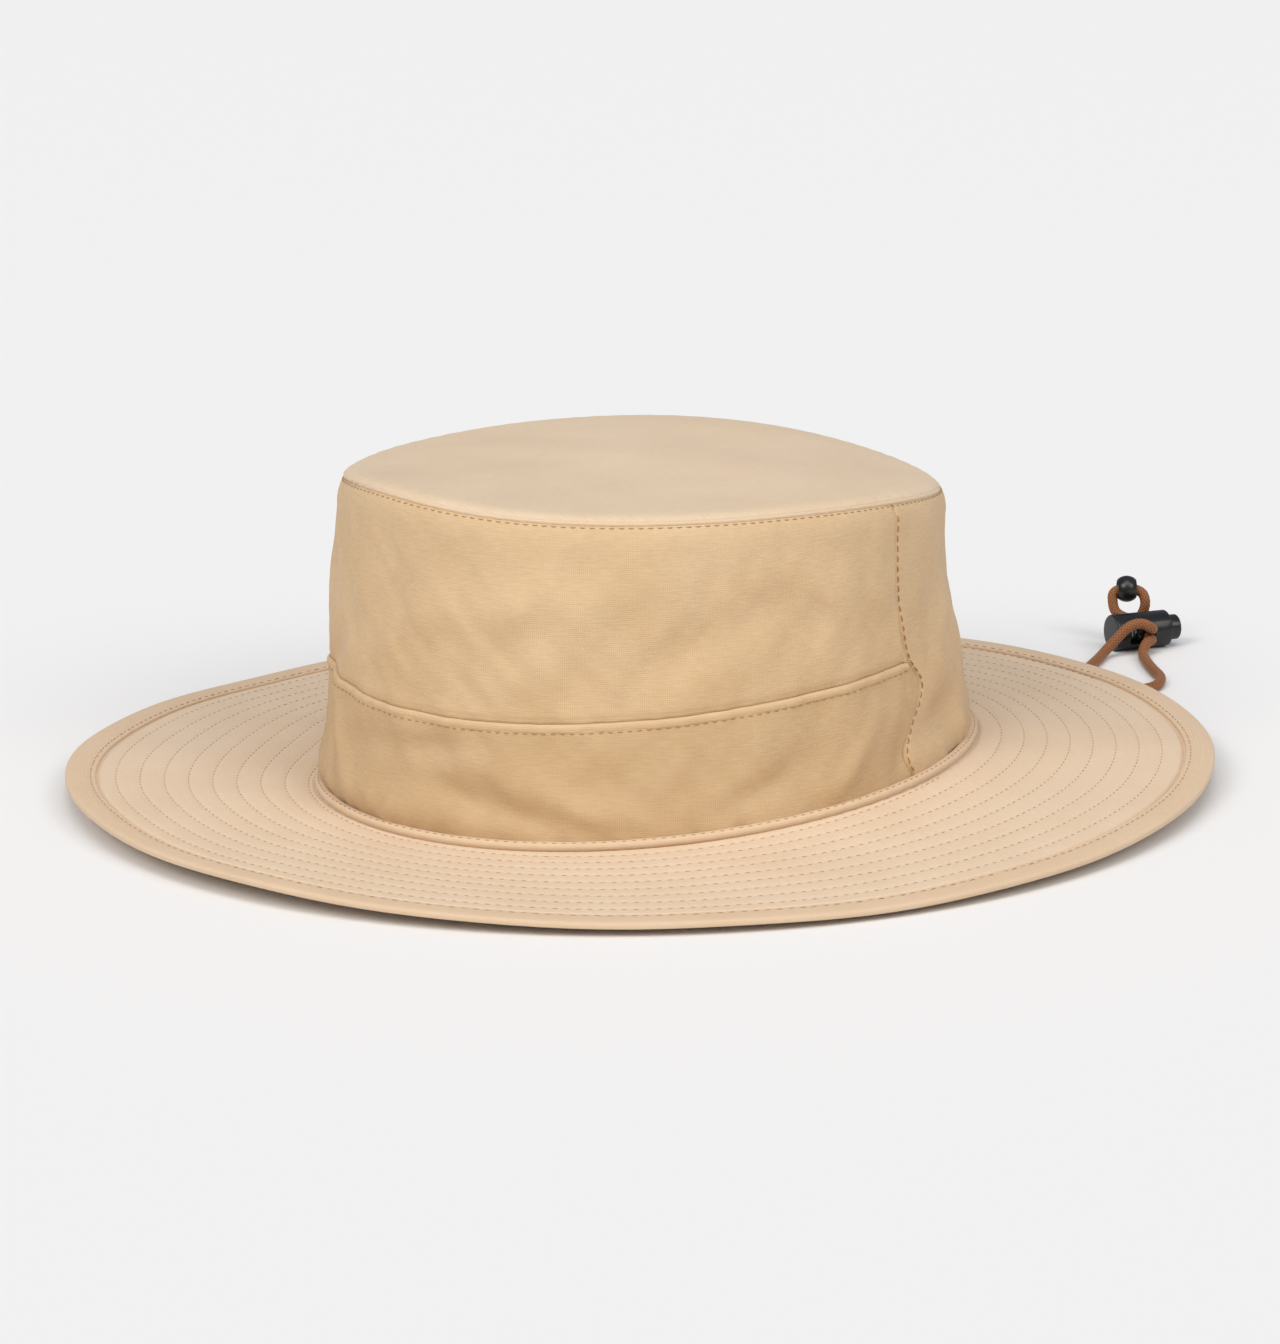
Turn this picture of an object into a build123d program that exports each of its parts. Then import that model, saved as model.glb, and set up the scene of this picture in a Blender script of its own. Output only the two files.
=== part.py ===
from build123d import *
import os
from math import cos, pi, radians, sin, tan

# A soft wide-brimmed boonie hat that stands on its brim, with a cord, a sprung cord lock and an
# end bead lying behind it. Millimetres. Origin under the middle of the hat, on the ground.
# +Z up, -Y is the wearer's front, +X the wearer's left.

os.makedirs("parts", exist_ok=True)

# ---- driving dimensions -------------------------------------------------------------------------
BASE_RX, BASE_RY = 91.0, 100.3      # crown wall at the brim, outer radii
TOP_RX, TOP_RY = 83.5, 93.0         # crown wall at the tip seam, outer radii
BASE_Z = 7.0                        # height of the crown base in the middle
BASE_SLOPE = (0.022, 0.039)         # the base seam rises towards the left and the back
BAND_Z = 41.0                       # seam between lower band and upper wall, height in the middle
BAND_SLOPE = (0.016, 0.029)
TOP_Z = 92.8                        # tip seam, height in the middle
TOP_SLOPE = (0.027, -0.036)         # the soft crown leans: its tip is highest at the front
TIP_RISE = 3.2                      # dome of the tip above its own edge
CLOTH = 1.2                         # lined crown cloth
SEAM_ANGLE = 18.0                   # side seams, measured from +X towards the back

BRIM_WIDTH = 72.0
BINDING_WIDTH = 8.0
BINDING_HEIGHT = 3.0
BACK_LIFT = 5.2                     # the brim's back edge stands higher, so the cord passes under it
BRIM_CLOTH = 0.5
INTERLINING = 0.9
QUILT_ROWS = 9
THREAD = 0.35

CORD_D = 3.2
CORD_Z = 1.65                       # height of the cord's middle where it lies on the ground

LOCK_START = (-23.4, 214.7, 5.9)    # middle of the barrel's closed end
LOCK_AXIS = (0.28, 0.96, 0.0)
LOCK_FRONT = (0.96, -0.28, 0.0)
BARREL_R, BARREL_LENGTH = 5.85, 19.5
BARREL_FLOOR = 2.0
BORE_R = 4.15
PLUNGER_R = 4.07
PLUNGER_START, PLUNGER_END = 7.7, 23.5
PRESS_TRAVEL = 3.5
CORD_AT = 11.4                      # where the two strands cross the barrel, from its closed end
CORD_GRIP = 0.1                     # room between a strand and the edges that grip it
SLOT_HEIGHT = 6.8
SLOT_LENGTH = 9.0
STRAND_OFFSET = 1.65                # the two strands lie one above the other inside the lock
WIRE_R, SPRING_R, SPRING_TURNS = 0.35, 2.9, 4

BEAD_R = 4.3
BEAD_BORE_R = 2.7

ANCHOR_X, ANCHOR_Y, ANCHOR_Z = 84.3, 2.0, 12.0


# ---- shared planes and sections -----------------------------------------------------------------
def tilted(height, slope_x, slope_y):
    """A plane through (0, 0, height) that rises by the given slopes along X and Y."""
    return Plane(origin=(0, 0, height), x_dir=(1, 0, slope_x), z_dir=(-slope_x, -slope_y, 1))


EDGE_RX, EDGE_RY = BASE_RX + BRIM_WIDTH, BASE_RY + BRIM_WIDTH
EDGE_SLOPE = BACK_LIFT / (2 * EDGE_RY)
base_plane = tilted(BASE_Z, *BASE_SLOPE)
band_plane = tilted(BAND_Z, *BAND_SLOPE)
top_plane = tilted(TOP_Z, *TOP_SLOPE)
edge_plane = tilted(BACK_LIFT / 2, 0, EDGE_SLOPE)

band_share = (BAND_Z - BASE_Z) / (TOP_Z - BASE_Z)
BAND_RX = BASE_RX + (TOP_RX - BASE_RX) * band_share
BAND_RY = BASE_RY + (TOP_RY - BASE_RY) * band_share
levels = {
    "base": (base_plane, BASE_RX, BASE_RY),
    "band": (band_plane, BAND_RX, BAND_RY),
    "top": (top_plane, TOP_RX, TOP_RY),
}


def oval(plane, rx, ry):
    """An oval profile on a plane."""
    with BuildSketch(plane) as profile:
        Ellipse(rx, ry)
    return profile.sketch


def crown_body(lower, upper, inset, mode=Mode.ADD):
    """The tapered oval body between two levels of the crown, its sides moved in by inset."""
    profiles = []
    for level in (lower, upper):
        plane, rx, ry = levels[level]
        profiles.append(oval(plane, rx - inset, ry - inset))
    loft(profiles, mode=mode)


def keep_sector(points):
    """Keeps what stands over a plan outline."""
    with BuildSketch(Plane.XY.offset(-20)) as outline:
        Polygon(*points, align=None)
    extrude(outline.sketch, amount=160, mode=Mode.INTERSECT)


REACH = 130.0
seam_x = REACH * cos(radians(SEAM_ANGLE))
seam_y = REACH * sin(radians(SEAM_ANGLE))
back_outline = [(0, 0), (seam_x, seam_y), (seam_x, REACH), (-seam_x, REACH), (-seam_x, seam_y)]
front_outline = [(0, 0), (-seam_x, seam_y), (-seam_x, -REACH), (seam_x, -REACH), (seam_x, seam_y)]


def narrow_outline(angle, half_angle):
    """A thin wedge in plan, around a direction from +X towards the back."""
    corners = [(0, 0)]
    for turn in (angle - half_angle, angle + half_angle):
        corners.append((REACH * cos(radians(turn)), REACH * sin(radians(turn))))
    return corners


def oval_ring(plane, rx, ry, width, height, mode=Mode.ADD):
    """A flat oval ring standing on a plane: inner radii rx and ry."""
    with BuildSketch(plane) as ring:
        Ellipse(rx + width, ry + width)
        Ellipse(rx, ry, mode=Mode.SUBTRACT)
    extrude(ring.sketch, amount=height, mode=mode)


# ---- crown --------------------------------------------------------------------------------------
with BuildPart() as crown_lower_band:
    crown_body("base", "band", 0)
    crown_body("base", "band", CLOTH, Mode.SUBTRACT)
    keep_sector(front_outline)

with BuildPart() as crown_front_panel:
    crown_body("band", "top", 0)
    crown_body("band", "top", CLOTH, Mode.SUBTRACT)
    keep_sector(front_outline)

with BuildPart() as crown_back_panel:
    crown_body("base", "band", 0)
    crown_body("band", "top", 0)
    crown_body("base", "band", CLOTH, Mode.SUBTRACT)
    crown_body("band", "top", CLOTH, Mode.SUBTRACT)
    keep_sector(back_outline)

# the tip: a shallow dome of cloth over the top of the wall
dome_steps = [(0.0, 0.0), (14.0, 0.6), (44.0, 1.0)]     # inset from the edge, share of the rise


def dome(lift, mode=Mode.ADD):
    """A stepped dome that starts lift above the tip seam."""
    profiles = []
    for inset, share in dome_steps:
        plane = top_plane.offset(lift + TIP_RISE * share)
        profiles.append(oval(plane, TOP_RX - inset, TOP_RY - inset))
    loft(profiles, ruled=True, mode=mode)


with BuildPart() as crown_top:
    extrude(oval(top_plane, TOP_RX, TOP_RY), amount=CLOTH)
    dome(CLOTH)
    dome(0, Mode.SUBTRACT)

# ---- turned seams that stand out as ridges --------------------------------------------------------
with BuildPart() as top_seam_ridge:
    oval_ring(top_plane.offset(-1.4), TOP_RX + 0.4, TOP_RY + 0.4, 1.6, 2.0)
    fillet(top_seam_ridge.edges().filter_by(GeomType.LINE, reverse=True), 0.5)

with BuildPart() as band_seam_ridge:
    oval_ring(band_plane.offset(-1.1), BAND_RX + 0.3, BAND_RY + 0.3, 1.4, 2.2)
    keep_sector(front_outline)

with BuildPart() as base_seam_ridge:
    oval_ring(base_plane.offset(0.25), BASE_RX + 0.3, BASE_RY + 0.3, 3.0, 2.45)
    fillet(base_seam_ridge.edges().filter_by(GeomType.LINE, reverse=True), 0.8)

# ---- brim ---------------------------------------------------------------------------------------
BRIM_IN_RX, BRIM_IN_RY = BASE_RX - CLOTH - 0.3, BASE_RY - CLOTH - 0.3
BRIM_OUT_RX, BRIM_OUT_RY = EDGE_RX - BINDING_WIDTH - 0.2, EDGE_RY - BINDING_WIDTH - 0.2
BRIM_EDGE_TOP = BINDING_HEIGHT - 0.5
LAYER_GAP = 0.03


def brim_level(share, drop):
    """Plane and radii of the brim's upper surface, share 0 at the crown and 1 at the binding."""
    rx = BRIM_IN_RX + (BRIM_OUT_RX - BRIM_IN_RX) * share
    ry = BRIM_IN_RY + (BRIM_OUT_RY - BRIM_IN_RY) * share
    height = BASE_Z + (BACK_LIFT / 2 + BRIM_EDGE_TOP - BASE_Z) * share - drop
    slope_x = BASE_SLOPE[0] * BRIM_IN_RX * (1 - share) / rx
    slope_y = (BASE_SLOPE[1] * BRIM_IN_RY * (1 - share) + EDGE_SLOPE * BRIM_OUT_RY * share) / ry
    return tilted(height, slope_x, slope_y), rx, ry


def brim_layer(drop, thickness):
    """One cloth layer of the brim, its upper face drop below the brim's upper surface."""
    slope = loft([oval(*brim_level(1, drop)), oval(*brim_level(0, drop))], mode=Mode.PRIVATE)
    cone = slope.faces().filter_by(GeomType.PLANE, reverse=True)[0]
    thicken(cone, amount=thickness)


with BuildPart() as brim_top_fabric:
    brim_layer(0, BRIM_CLOTH)

with BuildPart() as brim_interlining:
    brim_layer(BRIM_CLOTH + LAYER_GAP, INTERLINING)

with BuildPart() as brim_under_fabric:
    brim_layer(BRIM_CLOTH + INTERLINING + 2 * LAYER_GAP, BRIM_CLOTH)

with BuildPart() as brim_edge_binding:
    oval_ring(edge_plane, EDGE_RX - BINDING_WIDTH, EDGE_RY - BINDING_WIDTH, BINDING_WIDTH, BINDING_HEIGHT)
    fillet(brim_edge_binding.edges().filter_by(GeomType.LINE, reverse=True), 1.2)

# ---- linings inside the crown ---------------------------------------------------------------------
LINING_GAP = 0.1

with BuildPart() as sweatband:
    crown_body("base", "band", CLOTH + LINING_GAP)
    crown_body("base", "band", CLOTH + LINING_GAP + 1.0, Mode.SUBTRACT)

with BuildPart() as top_seam_tape:
    oval_ring(top_plane.offset(-8.8), TOP_RX - 2.2, TOP_RY - 2.2, 0.8, 7.6)

side_seam_tapes = {}
for side, angle in (("left", SEAM_ANGLE), ("right", 180 - SEAM_ANGLE)):
    with BuildPart() as tape:
        crown_body("band", "top", CLOTH + LINING_GAP)
        crown_body("band", "top", CLOTH + LINING_GAP + 0.6, Mode.SUBTRACT)
        keep_sector(narrow_outline(angle, 3.2))
        with BuildSketch(top_plane.offset(-9.0)):
            Rectangle(2 * REACH, 2 * REACH)
        extrude(amount=20, mode=Mode.SUBTRACT)
    side_seam_tapes[side] = tape

with BuildPart() as care_label:
    crown_body("base", "band", CLOTH + LINING_GAP + 1.1)
    crown_body("base", "band", CLOTH + LINING_GAP + 1.6, Mode.SUBTRACT)
    keep_sector(narrow_outline(90, 9.5))
    with BuildSketch(Plane.XY.offset(17)):
        Rectangle(2 * REACH, 2 * REACH)
    extrude(amount=20, mode=Mode.INTERSECT)

# ---- stitching ------------------------------------------------------------------------------------
with BuildPart() as top_seam_thread:
    oval_ring(top_plane.offset(-2.6), TOP_RX + 0.45, TOP_RY + 0.45, THREAD, THREAD)

with BuildPart() as band_seam_thread:
    oval_ring(band_plane.offset(-2.4), BAND_RX + 0.4, BAND_RY + 0.4, THREAD, THREAD)
    keep_sector(front_outline)

with BuildPart() as base_seam_thread:
    oval_ring(base_plane.offset(2.75), BASE_RX + 1.6, BASE_RY + 1.6, THREAD, THREAD)

with BuildPart() as brim_edge_thread:
    oval_ring(edge_plane.offset(BINDING_HEIGHT + 0.05), EDGE_RX - BINDING_WIDTH + 1.4,
              EDGE_RY - BINDING_WIDTH + 1.4, THREAD, THREAD)

with BuildPart() as brim_quilting_thread:
    for row in range(QUILT_ROWS):
        oval_ring(*brim_level((row + 1) / (QUILT_ROWS + 0.7), -0.05), THREAD, THREAD)


# slope of each level, and how far from it the side seam's thread passes
seam_ends = {"base": (*BASE_SLOPE, 3.4), "band": (*BAND_SLOPE, 0.0), "top": (*TOP_SLOPE, -3.2)}


def wall_point(level, angle, out):
    """A point on the crown wall's outer face at a level, moved out by a little."""
    plane, rx, ry = levels[level]
    x, y = (rx + out) * cos(radians(angle)), (ry + out) * sin(radians(angle))
    slope_x, slope_y, lift = seam_ends[level]
    return (x, y, plane.origin.Z + slope_x * x + slope_y * y + lift)


with BuildPart() as side_seam_threads:
    for angle in (SEAM_ANGLE + 1.2, 180 - SEAM_ANGLE - 1.2):
        corners = [wall_point(level, angle, 0.5) for level in ("base", "band", "top")]
        with BuildLine() as seam_line:
            FilletPolyline(*corners, radius=40)
        with BuildSketch(Plane(origin=seam_line.line @ 0, z_dir=seam_line.line % 0)):
            Circle(THREAD / 2)
        sweep(path=seam_line.line)


# ---- cord ---------------------------------------------------------------------------------------
def at_lock(along, front, up):
    """A point given along the barrel from its closed end, out of its front, and up."""
    start, axis, side = Vector(*LOCK_START), Vector(*LOCK_AXIS), Vector(*LOCK_FRONT)
    return tuple(start + axis * along + side * front + Vector(0, 0, up))


# each route starts in the middle of the lock; the two strands end at the anchors
route_right = [
    at_lock(CORD_AT, 0, STRAND_OFFSET),
    at_lock(CORD_AT, 7.6, STRAND_OFFSET),
    at_lock(8.9, 9.6, 3.4),
    at_lock(5.6, 8.9, 4.9),
    at_lock(1.6, 8.3, 3.8),
    at_lock(-1.7, 7.9, 0.6),
    at_lock(-6.0, 7.6, -3.6),
    (-12.2, 197.8, CORD_Z),
    (-3.5, 183.5, CORD_Z),
    (0.5, 164.0, CORD_Z),
    (-7.0, 141.0, CORD_Z),
    (-19.0, 118.0, CORD_Z),
    (-20.0, 92.0, CORD_Z),
    (-38.0, 68.0, CORD_Z),
    (-46.0, 42.0, CORD_Z),
    (-34.0, 16.0, CORD_Z),
    (-43.0, -9.0, CORD_Z),
    (-61.0, -17.0, CORD_Z),
    (-77.0, -9.0, CORD_Z),
    (-ANCHOR_X, ANCHOR_Y, 3.6),
    (-ANCHOR_X, ANCHOR_Y, ANCHOR_Z),
]
route_left = [
    at_lock(CORD_AT, 0, -STRAND_OFFSET),
    at_lock(CORD_AT, 7.6, -STRAND_OFFSET),
    at_lock(7.6, 9.6, -1.6),
    at_lock(5.2, 12.0, -4.1),
    (-5.4, 211.8, CORD_Z),
    (6.8, 203.6, CORD_Z),
    (18.0, 197.6, CORD_Z),
    (25.6, 187.0, CORD_Z),
    (22.2, 174.0, CORD_Z),
    (15.0, 158.0, CORD_Z),
    (13.0, 134.0, CORD_Z),
    (23.0, 110.0, CORD_Z),
    (23.0, 84.0, CORD_Z),
    (40.0, 62.0, CORD_Z),
    (45.0, 36.0, CORD_Z),
    (35.0, 12.0, CORD_Z),
    (44.0, -12.0, CORD_Z),
    (62.0, -19.0, CORD_Z),
    (77.5, -9.0, CORD_Z),
    (ANCHOR_X, ANCHOR_Y, 3.6),
    (ANCHOR_X, ANCHOR_Y, ANCHOR_Z),
]
bead_sides = [(-33.7, 224.5, 17.2), (-28.0, 232.0, 17.2)]
route_loop = [
    at_lock(CORD_AT, 0, STRAND_OFFSET),
    at_lock(CORD_AT, -7.4, STRAND_OFFSET),
    at_lock(7.2, -9.8, 3.3),
    at_lock(6.2, -11.3, 5.6),
    bead_sides[0],
    bead_sides[1],
    (-25.8, 232.6, 12.6),
    at_lock(15.2, -9.6, 1.2),
    at_lock(CORD_AT, -7.6, -STRAND_OFFSET),
    at_lock(CORD_AT, 0, -STRAND_OFFSET),
]
ARC_SHARE = 0.45                    # of the shorter run beside a corner, taken by the corner's arc


def corner_radii(route):
    """The largest arc that each corner of a route has room for."""
    radii = []
    for before, corner, after in zip(route, route[1:], route[2:]):
        run_in = Vector(*corner) - Vector(*before)
        run_out = Vector(*after) - Vector(*corner)
        half_turn = radians(run_in.get_angle(run_out)) / 2
        radii.append(ARC_SHARE * min(run_in.length, run_out.length) / tan(half_turn))
    return radii


cords = {}
for name, route in (("cord_right_strand", route_right), ("cord_left_strand", route_left),
                    ("cord_end_loop", route_loop)):
    radii = corner_radii(route)
    with BuildPart() as cord:
        with BuildLine() as path:
            FilletPolyline(*route, radius=radii)
        with BuildSketch(Plane(origin=path.line @ 0, z_dir=path.line % 0)):
            Circle(CORD_D / 2)
        sweep(path=path.line)
    cords[name] = cord
    length = path.wire().length
    tube_share = cord.part.volume / (pi * CORD_D**2 / 4 * length)
    print(name, "length", round(length, 1), "volume share", round(tube_share, 4))
    print("  radii", [round(radius, 1) for radius in radii])

with BuildPart() as cord_anchor:
    with Locations((ANCHOR_X, ANCHOR_Y, ANCHOR_Z)):
        Box(4.8, 12, 14, align=(Align.CENTER, Align.CENTER, Align.MIN))
    fillet(cord_anchor.edges().filter_by(Axis.Z), 1.2)

with BuildPart() as cord_anchor_mirrored:
    mirror(cord_anchor.part, about=Plane.YZ)

# ---- cord lock and end bead -----------------------------------------------------------------------
lock_plane = Plane(origin=LOCK_START, x_dir=LOCK_FRONT, z_dir=LOCK_AXIS)
cross_plane = Plane(origin=LOCK_START, x_dir=LOCK_AXIS, z_dir=LOCK_FRONT)
slot_end = CORD_AT + CORD_D / 2 + CORD_GRIP
window_start = CORD_AT - CORD_D / 2 - CORD_GRIP
window_end = CORD_AT + CORD_D / 2 + CORD_GRIP + PRESS_TRAVEL


def cross_slot(start, end, corner):
    """A rounded window from front to back, between two distances along the barrel."""
    with BuildSketch(cross_plane) as window:
        with Locations(((start + end) / 2, 0)):
            RectangleRounded(end - start, SLOT_HEIGHT, corner)
    extrude(window.sketch, amount=2 * BARREL_R, both=True, mode=Mode.SUBTRACT)


with BuildPart() as lock_barrel:
    with BuildSketch(lock_plane):
        Circle(BARREL_R)
    extrude(amount=BARREL_LENGTH)
    fillet(lock_barrel.edges().filter_by(GeomType.CIRCLE), 0.5)
    with BuildSketch(lock_plane.offset(BARREL_FLOOR)):
        Circle(BORE_R)
    extrude(amount=BARREL_LENGTH, mode=Mode.SUBTRACT)
    cross_slot(slot_end - SLOT_LENGTH, slot_end, 1.2)

with BuildPart() as lock_plunger:
    with BuildSketch(lock_plane.offset(PLUNGER_START)):
        Circle(PLUNGER_R)
    extrude(amount=PLUNGER_END - PLUNGER_START)
    fillet(lock_plunger.edges().filter_by(GeomType.CIRCLE), 0.5)
    cross_slot(window_start, window_end, 0.4)

spring_start = BARREL_FLOOR + WIRE_R + 0.05
spring_height = PLUNGER_START - BARREL_FLOOR - 2 * WIRE_R - 0.1
with BuildPart() as lock_spring:
    with BuildLine() as coil:
        Helix(spring_height / SPRING_TURNS, spring_height, SPRING_R,
              center=at_lock(spring_start, 0, 0), direction=LOCK_AXIS)
    with BuildSketch(Plane(origin=coil.line @ 0, z_dir=coil.line % 0)):
        Circle(WIRE_R)
    sweep(path=coil.line, is_frenet=True)

bead_axis = Vector(*bead_sides[1]) - Vector(*bead_sides[0])
bead_middle = (Vector(*bead_sides[1]) + Vector(*bead_sides[0])) * 0.5
bead_plane = Plane(origin=bead_middle, z_dir=bead_axis)
with BuildPart() as end_bead:
    with BuildSketch(Plane(origin=bead_middle, x_dir=bead_plane.x_dir, z_dir=bead_plane.y_dir)):
        Circle(BEAD_R)
        Rectangle(2 * BEAD_R, 4 * BEAD_R, align=(Align.MAX, Align.CENTER), mode=Mode.SUBTRACT)
    revolve(axis=Axis(bead_middle, bead_axis))
    with BuildSketch(bead_plane):
        Circle(BEAD_BORE_R)
    extrude(amount=2 * BEAD_R, both=True, mode=Mode.SUBTRACT)
    chamfer(end_bead.edges().filter_by(GeomType.CIRCLE), 0.4)
print("bead middle", bead_middle, "axis", bead_axis.normalized())

# ---- export -------------------------------------------------------------------------------------
parts = {
    "crown_top": crown_top,
    "crown_front_panel": crown_front_panel,
    "crown_lower_band": crown_lower_band,
    "crown_back_panel": crown_back_panel,
    "top_seam_ridge": top_seam_ridge,
    "band_seam_ridge": band_seam_ridge,
    "base_seam_ridge": base_seam_ridge,
    "brim_top_fabric": brim_top_fabric,
    "brim_interlining": brim_interlining,
    "brim_under_fabric": brim_under_fabric,
    "brim_edge_binding": brim_edge_binding,
    "sweatband": sweatband,
    "top_seam_tape": top_seam_tape,
    "side_seam_tape_left": side_seam_tapes["left"],
    "side_seam_tape_right": side_seam_tapes["right"],
    "care_label": care_label,
    "top_seam_thread": top_seam_thread,
    "band_seam_thread": band_seam_thread,
    "base_seam_thread": base_seam_thread,
    "side_seam_threads": side_seam_threads,
    "brim_edge_thread": brim_edge_thread,
    "brim_quilting_thread": brim_quilting_thread,
    "cord_anchor_left": cord_anchor,
    "cord_anchor_right": cord_anchor_mirrored,
    "lock_barrel": lock_barrel,
    "lock_plunger": lock_plunger,
    "lock_spring": lock_spring,
    "end_bead": end_bead,
    **cords,
}
for name, builder in parts.items():
    builder.part.label = name
    export_step(builder.part, f"parts/{name}.step")
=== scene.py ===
import bpy
import numpy as np
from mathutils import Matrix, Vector


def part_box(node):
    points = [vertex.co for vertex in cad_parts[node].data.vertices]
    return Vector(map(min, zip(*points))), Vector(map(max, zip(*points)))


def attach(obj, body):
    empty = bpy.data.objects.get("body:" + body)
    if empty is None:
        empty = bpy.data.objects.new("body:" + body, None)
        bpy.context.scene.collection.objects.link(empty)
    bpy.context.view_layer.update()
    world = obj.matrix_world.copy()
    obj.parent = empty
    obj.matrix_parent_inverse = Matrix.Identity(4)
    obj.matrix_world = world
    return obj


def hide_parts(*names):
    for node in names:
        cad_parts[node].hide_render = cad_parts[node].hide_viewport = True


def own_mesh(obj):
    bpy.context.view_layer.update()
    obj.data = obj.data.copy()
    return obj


# A soft wide-brimmed boonie hat standing on its brim, with its chin cord, sprung cord lock and end
# bead lying behind it. Shapes are worked out in millimetres and go into the meshes in metres.
# theta is the angle round the hat, in degrees, from the wearer's left (+X) towards the back (+Y).
# Out is away from the hat's middle.

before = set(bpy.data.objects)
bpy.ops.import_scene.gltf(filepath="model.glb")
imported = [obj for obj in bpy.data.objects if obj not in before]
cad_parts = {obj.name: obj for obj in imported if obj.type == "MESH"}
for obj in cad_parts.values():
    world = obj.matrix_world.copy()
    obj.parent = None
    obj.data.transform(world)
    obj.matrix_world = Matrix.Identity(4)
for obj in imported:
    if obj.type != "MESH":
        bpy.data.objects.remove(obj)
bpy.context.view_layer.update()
MM = 0.001
scene = bpy.context.scene


# ---- camera --------------------------------------------------------------------------------------
CAMERA_AZIMUTH, CAMERA_ELEVATION = np.radians(51.11), np.radians(14.06)
CAMERA_DISTANCE = 1.6
CAMERA_TARGET = Vector((0, 0, 0.0312))
FILM_WIDTH, FOCAL_LENGTH = 36, 152.67

away = Vector((
    np.sin(CAMERA_AZIMUTH) * np.cos(CAMERA_ELEVATION),
    -np.cos(CAMERA_AZIMUTH) * np.cos(CAMERA_ELEVATION),
    np.sin(CAMERA_ELEVATION),
))
lens = bpy.data.cameras.new("studio_camera")
lens.sensor_fit = "HORIZONTAL"
lens.sensor_width = FILM_WIDTH
lens.lens = FOCAL_LENGTH
lens.clip_end = 30
camera = bpy.data.objects.new("studio_camera", lens)
camera.location = CAMERA_TARGET + away * CAMERA_DISTANCE
camera.rotation_euler = away.to_track_quat("Z", "Y").to_euler()
scene.collection.objects.link(camera)
scene.camera = camera


# ---- meshes and materials: the small tools that every piece uses ---------------------------------
def add_object(name, data, material, body="hat", replaces=()):
    """Puts mesh or curve data in the scene as a finished piece on a body."""
    piece = bpy.data.objects.new(name, data)
    scene.collection.objects.link(piece)
    data.materials.append(material)
    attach(piece, body)
    if replaces:
        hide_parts(*replaces)
    return piece


def grid_mesh(name, points, uv=None, closed_u=False, closed_v=False):
    """One quad per cell of a grid of points in millimetres, [row v, column u]. A closed direction
    joins its last line to its first. uv is in millimetres, with one more line where closed."""
    rows, columns = points.shape[:2]
    row, column = np.meshgrid(np.arange(rows - 1 + closed_v), np.arange(columns - 1 + closed_u),
                              indexing="ij")
    corners = [(row, column), (row, column + 1), (row + 1, column + 1), (row + 1, column)]
    quads = np.stack([(r % rows) * columns + c % columns for r, c in corners], -1).reshape(-1, 4)
    mesh = bpy.data.meshes.new(name)
    mesh.from_pydata((points.reshape(-1, 3) * MM).tolist(), [], quads.tolist())
    if uv is not None:
        layer = mesh.uv_layers.new(name="cloth")
        values = np.stack([uv[r, c] for r, c in corners], -2).reshape(-1)
        layer.data.foreach_set("uv", (values * MM).astype(np.float32))
    mesh.shade_smooth()
    return mesh


def thicken(piece, thickness):
    """Gives a cloth surface its thickness, in millimetres, on the inner side."""
    solid = piece.modifiers.new("cloth_thickness", "SOLIDIFY")
    solid.thickness = thickness * MM
    solid.offset = -1
    solid.use_even_offset = False
    return piece


def linear(hex_colour):
    """A linear colour, with alpha, from an sRGB hex value."""
    srgb = np.array([int(hex_colour[i:i + 2], 16) for i in (0, 2, 4)]) / 255
    value = np.where(srgb <= 0.04045, srgb / 12.92, ((srgb + 0.055) / 1.055) ** 2.4)
    return (*value.tolist(), 1.0)


def add_node(tree, kind, settings=None, **inputs):
    """Adds a node. settings are its own properties; inputs are values, or sockets to link from."""
    node = tree.nodes.new(kind)
    for key, value in (settings or {}).items():
        setattr(node, key, value)
    for key, value in inputs.items():
        socket = node.inputs[int(key[1:]) if key[1:].isdigit() else key.replace("_", " ")]
        if isinstance(value, bpy.types.NodeSocket):
            tree.links.new(value, socket)
        else:
            socket.default_value = value
    return node


def new_material(name):
    """An empty node material with its output, and the tree to build it in."""
    material = bpy.data.materials.new(name)
    material.use_nodes = True
    material.node_tree.nodes.clear()
    return material, material.node_tree


# ---- cloth and other finishes --------------------------------------------------------------------
THREADS_PER_METRE = 1700        # poplin has about 3000; drawn coarser, so that the weave shows
SLUB_LENGTH = 0.004             # a thicker stretch of yarn is some 4 mm long
SLUB_STRETCH = 6.0              # and this many times longer than thick
CLOUD_SIZE = 0.035              # soft shade changes from washing and handling, 35 mm across
YARN_BUMP, SLUB_BUMP = 0.0004, 0.0006   # how far yarns and slubs stand out, in metres


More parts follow.
